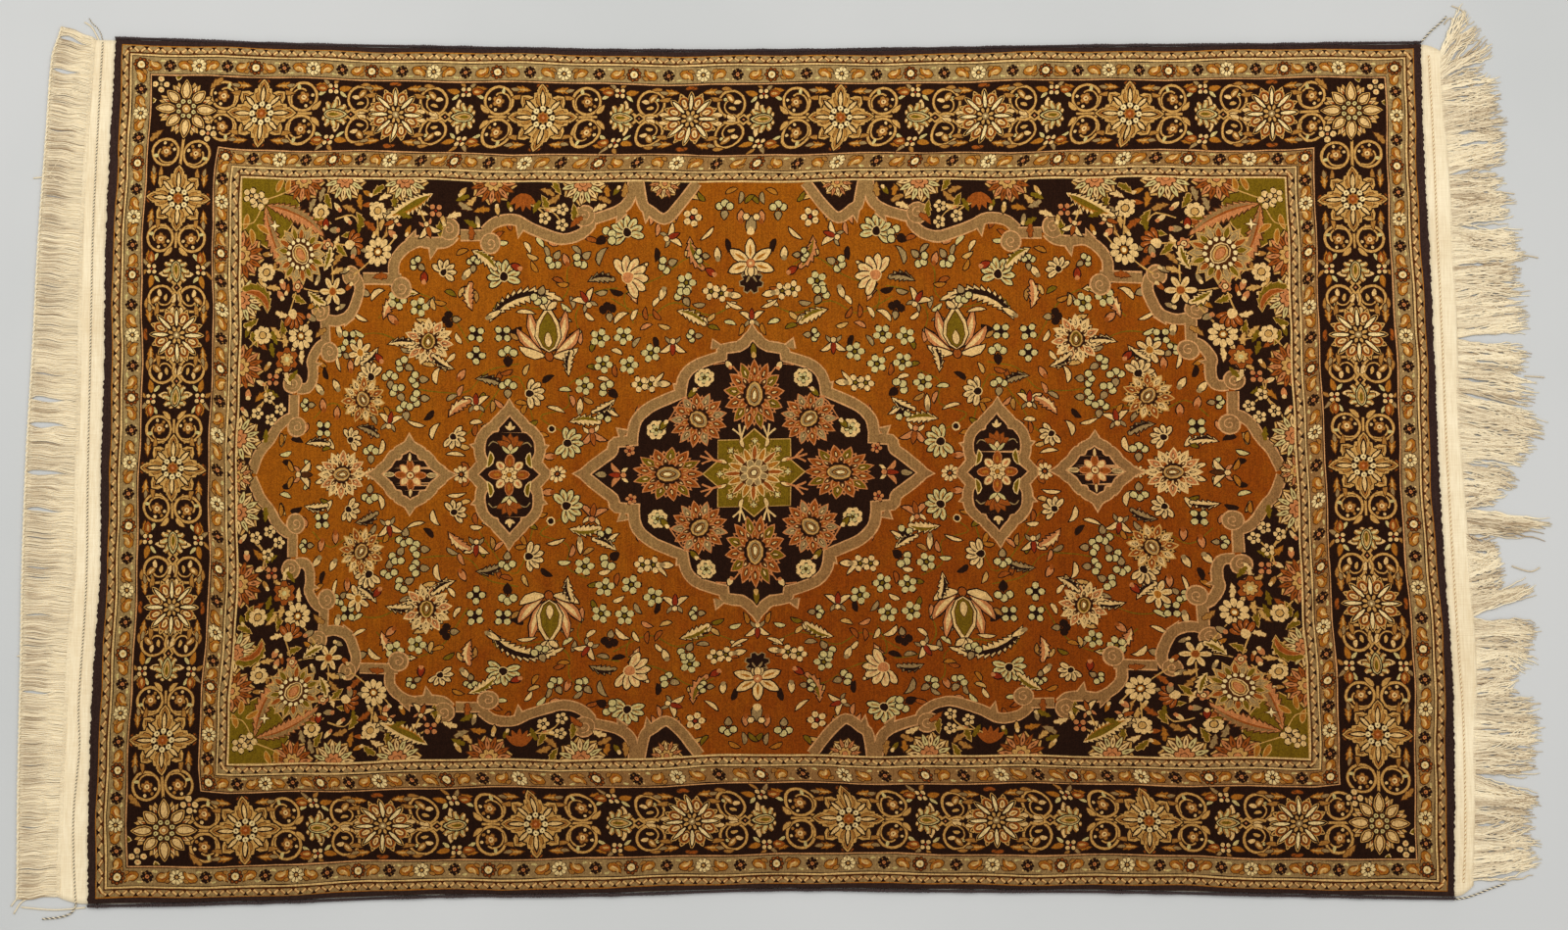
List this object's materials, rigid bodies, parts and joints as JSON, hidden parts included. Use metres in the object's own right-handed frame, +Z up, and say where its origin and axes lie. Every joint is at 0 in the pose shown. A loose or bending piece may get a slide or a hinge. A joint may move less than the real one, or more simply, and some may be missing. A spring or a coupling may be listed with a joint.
{
  "type": "persian rug",
  "caption": "Flat rectangular pile rug with a medallion, corner pieces and borders, flat-woven ends, overcast long sides and a fringe at each end.",
  "frame": {"origin": "on the floor, under the middle of the box around the rug and its two fringes", "axes": "+X along the rug's length, towards the end with the loose fringe in locks; +Y across it, towards the long side that is far in the picture; +Z up"},
  "size_m": [2.1452, 1.3007, 0.006],
  "materials": {
    "pile": "short cut pile with a soft sheen, many dyed colours",
    "selvedge": "matte overcast wool",
    "cotton": "matte undyed cotton yarn",
    "cord": "matte twined yarn, dark and cream"
  },
  "bodies": {
    "root": {"rug": "pile", "selvedge_far": "selvedge", "selvedge_near": "selvedge", "fringe_left": "cotton", "fringe_right": "cotton", "cord_far_left": "cord", "cord_far_right": "cord", "cord_near_right": "cord", "cord_near_left": "cord"}
  },
  "joints": []
}
